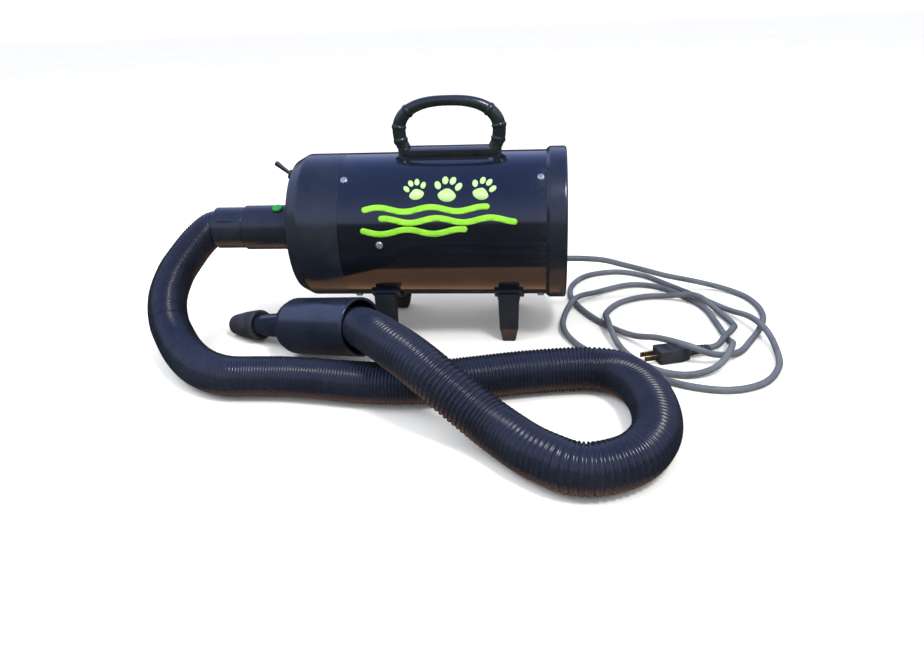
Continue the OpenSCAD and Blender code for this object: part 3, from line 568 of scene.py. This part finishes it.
for eased_node, edge_width in (
        ("handle_base", 0.0016), ("foot_bracket_front", 0.0009), ("foot_bracket_rear", 0.0009),
        ("rubber_foot_front_near", 0.0011), ("rubber_foot_front_far", 0.0011),
        ("rubber_foot_rear_near", 0.0011), ("rubber_foot_rear_far", 0.0011),
        ("plug_body", 0.0022), ("plug_pins", 0.0003)):
    eased(eased_node, edge_width)


# The plug's strain relief: a tapered sleeve with grooves cut round it.

def make_strain_relief():
    bm = bmesh.new()
    rings = []
    length, wide, narrow = 0.0262, 0.0065, LEAD_D / 2 + 0.0008
    grooves, first, pitch, depth = 5, 0.003, 0.0042, 0.0011
    for g in range(grooves):
        start = first + g * pitch
        for at, cut in ((start, 0), (start + 0.0004, depth), (start + 0.0015, depth), (start + 0.0019, 0)):
            rings.append((at, wide + (narrow - wide) * at / length - cut))
    outline = [(0.0, wide), *rings, (length, narrow), (length, 0.0), (0.0, 0.0)]
    verts = [bm.verts.new((x, 0, r)) for x, r in outline]
    edges = [bm.edges.new(pair) for pair in zip(verts, verts[1:])]
    bmesh.ops.spin(
        bm, geom=verts + edges, axis=(1, 0, 0), cent=(0, 0, 0), steps=40, angle=tau, use_merge=True)
    bmesh.ops.remove_doubles(bm, verts=bm.verts, dist=1e-6)
    place = Matrix.Translation(PLUG_AT) @ Matrix.Rotation(PLUG_TURN, 4, "Z")
    bmesh.ops.transform(bm, matrix=place, verts=bm.verts)
    piece = new_piece("plug_sleeve", bm, "body", plug_rubber, replaces=["plug_strain_relief"])
    piece.data.set_sharp_from_angle(angle=radians(40))
    return piece


plug_sleeve = make_strain_relief()
make_lead(grey_pvc)


# The film on the barrel: paw prints above, and three streams of air below them.

FILM_GAP = 0.00001
FILM_THICKNESS = 0.00014


def bent_onto_barrel(bm):
    """Cuts a flat drawing into strips, then lays it on the barrel: X stays, Y becomes the way round."""
    strip = 0.003
    low = min(v.co.y for v in bm.verts)
    high = max(v.co.y for v in bm.verts)
    at = low + strip
    while at < high:
        drawing = bm.verts[:] + bm.edges[:] + bm.faces[:]
        bmesh.ops.bisect_plane(bm, geom=drawing, plane_co=(0, at, 0), plane_no=(0, 1, 0), dist=1e-7)
        at += strip
    made = bmesh.ops.extrude_face_region(bm, geom=bm.faces[:])["geom"]
    for v in made:
        if isinstance(v, bmesh.types.BMVert):
            v.co.z = FILM_THICKNESS
    for v in bm.verts:
        angle = v.co.y / BARREL_R
        r = BARREL_R + FILM_GAP + v.co.z
        v.co = Vector((v.co.x, -r * cos(angle), AXIS_Z + r * sin(angle)))


def blob(bm, x, y, wide, tall, turn=0.0, pull=0.0):
    """A flat oval; pull narrows its upper half."""
    made = bmesh.ops.create_circle(bm, segments=40, radius=1, cap_ends=True)["verts"]
    for v in made:
        v.co = Vector((v.co.x * wide * (1 - pull * max(0.0, v.co.y)), v.co.y * tall, 0))
    place = Matrix.Translation((x, y, 0)) @ Matrix.Rotation(turn, 4, "Z")
    bmesh.ops.transform(bm, matrix=place, verts=made)


def paw(bm, x, y, size, turn):
    """A pad and four toes, drawn one unit wide and then scaled to size."""
    start = set(bm.verts)
    toes = ((-0.46, 0.17, 0.42), (-0.17, 0.45, 0.14), (0.17, 0.45, -0.14), (0.46, 0.17, -0.42))
    blob(bm, 0, -0.26, 0.40, 0.31, pull=0.38)
    for toe_x, toe_y, lean in toes:
        blob(bm, toe_x, toe_y, 0.135, 0.21, lean)
    made = [v for v in bm.verts if v not in start]
    place = Matrix.Translation((x, y, 0)) @ Matrix.Rotation(turn, 4, "Z") @ Matrix.Scale(size, 4)
    bmesh.ops.transform(bm, matrix=place, verts=made)


def stream(bm, x0, x1, y, phase):
    """A wavy stroke of one width, with round ends."""
    steps, half, swing, waves = 70, 0.0070 / 2, 0.0026, 100
    line = []
    for k in range(steps + 1):
        wave = sin(phase + waves * (x1 - x0) * k / steps)
        line.append(Vector((x0 + (x1 - x0) * k / steps, y + swing * wave, 0)))
    edges = []
    for k, at in enumerate(line):
        along = (line[min(k + 1, steps)] - line[max(k - 1, 0)]).normalized()
        left = Vector((-along.y, along.x, 0))
        edges.append((bm.verts.new(at - left * half), bm.verts.new(at + left * half), along, left))
    for (a, b, _, _), (c, d, _, _) in zip(edges, edges[1:]):
        bm.faces.new((a, c, d, b))
    for (low, high, along, left), at, way in ((edges[0], line[0], -1), (edges[-1], line[-1], 1)):
        turns = [pi * k / 10 for k in range(1, 10)]
        cap = [bm.verts.new(at + half * (way * along * sin(turn) - left * cos(turn))) for turn in turns]
        bm.faces.new((low, *cap, high))


def make_film():
    paw_line = 0.0640
    bm = bmesh.new()
    for x, size, turn in ((0.034, 0.022, 0.25), (0.072, 0.027, -0.1), (0.113, 0.024, -0.35)):
        paw(bm, x, paw_line, size, turn)
    bent_onto_barrel(bm)
    piece = new_piece("paw_film", bm, "body", mint_vinyl)
    bm = bmesh.new()
    stream(bm, -0.026, 0.118, 0.0400, 0.0)
    stream(bm, -0.006, 0.150, 0.0270, 1.3)
    stream(bm, -0.028, 0.092, 0.0140, 2.6)
    bent_onto_barrel(bm)
    piece = new_piece("stream_film", bm, "body", lime_vinyl)


make_film()


# A pale floor and soft light. Glossy surfaces mirror a clear sky above and warm ground below.

def make_floor():
    f = Finish("pale_floor", Specular_IOR_Level=0.2, Roughness=0.8)
    f.colour(f.noise(3, 2), (0.3, 0.90, 0.90, 0.90), (0.7, 0.93, 0.93, 0.93))
    bm = bmesh.new()
    bmesh.ops.create_grid(bm, x_segments=1, y_segments=1, size=12)
    mesh = bpy.data.meshes.new("floor")
    bm.to_mesh(mesh)
    bm.free()
    mesh.materials.append(f.material)
    floor = bpy.data.objects.new("floor", mesh)
    bpy.context.scene.collection.objects.link(floor)
    floor.visible_glossy = False


# What glossy surfaces mirror, from straight down (0) to straight up (1): (place, red, green, blue).
MIRRORED_STOPS = [
    (0.0, 0.30, 0.16, 0.085), (0.060, 0.50, 0.27, 0.145), (0.072, 0.020, 0.018, 0.016),
    (0.34, 0.016, 0.020, 0.020), (0.610, 0.026, 0.030, 0.036), (0.650, 0.34, 0.38, 0.60),
    (0.74, 0.30, 0.37, 0.72), (0.95, 0.09, 0.16, 0.50),
]
MIRRORED_GAIN = 1.8


def make_world():
    world = bpy.data.worlds.new("daylight")
    world.use_nodes = True
    nodes, links = world.node_tree.nodes, world.node_tree.links
    background = nodes["Background"]
    direction = nodes.new("ShaderNodeTexCoord").outputs["Generated"]
    height = nodes.new("ShaderNodeSeparateXYZ")
    links.new(direction, height.inputs["Vector"])
    half = nodes.new("ShaderNodeMapRange")
    half.inputs["From Min"].default_value = -1
    links.new(height.outputs["Z"], half.inputs["Value"])
    sky = nodes.new("ShaderNodeValToRGB")
    set_ramp(sky.color_ramp, MIRRORED_STOPS)
    links.new(half.outputs["Result"], sky.inputs["Fac"])
    bright = nodes.new("ShaderNodeVectorMath")
    bright.operation = "SCALE"
    bright.inputs["Scale"].default_value = MIRRORED_GAIN
    links.new(sky.outputs["Color"], bright.inputs[0])
    mirrored = nodes.new("ShaderNodeLightPath").outputs["Is Glossy Ray"]
    mix = nodes.new("ShaderNodeMix")
    mix.data_type = "RGBA"
    for socket in mix.inputs:
        if socket.type == "RGBA" and socket.name == "A":
            socket.default_value = (1.0, 1.0, 1.0, 1)
        if socket.type == "RGBA" and socket.name == "B":
            links.new(bright.outputs["Vector"], socket)
    links.new(mirrored, mix.inputs["Factor"])
    result = next(o for o in mix.outputs if o.type == "RGBA")
    links.new(result, background.inputs["Color"])
    background.inputs["Strength"].default_value = 1.1
    bpy.context.scene.world = world


def make_light(name, place, aim, size, power, tint, mirrored):
    data = bpy.data.lights.new(name, "AREA")
    data.shape = "DISK"
    data.size = size
    data.energy = power
    data.color = tint
    light = bpy.data.objects.new(name, data)
    back = Vector(place) - Vector(aim)
    light.matrix_world = Matrix.Translation(place) @ back.to_track_quat("Z", "Y").to_matrix().to_4x4()
    light.visible_glossy = mirrored
    bpy.context.scene.collection.objects.link(light)


make_floor()
make_world()
MIDDLE = (0.05, -0.1, 0.08)
make_light("sun_side", (0.9, -1.1, 2.2), MIDDLE, size=0.55, power=34, tint=(1.0, 0.97, 0.92), mirrored=True)
make_light("sky_side", (-1.3, -0.6, 2.0), MIDDLE, size=1.6, power=26, tint=(0.92, 0.96, 1.0), mirrored=False)
bpy.context.scene.view_settings.view_transform = "Standard"
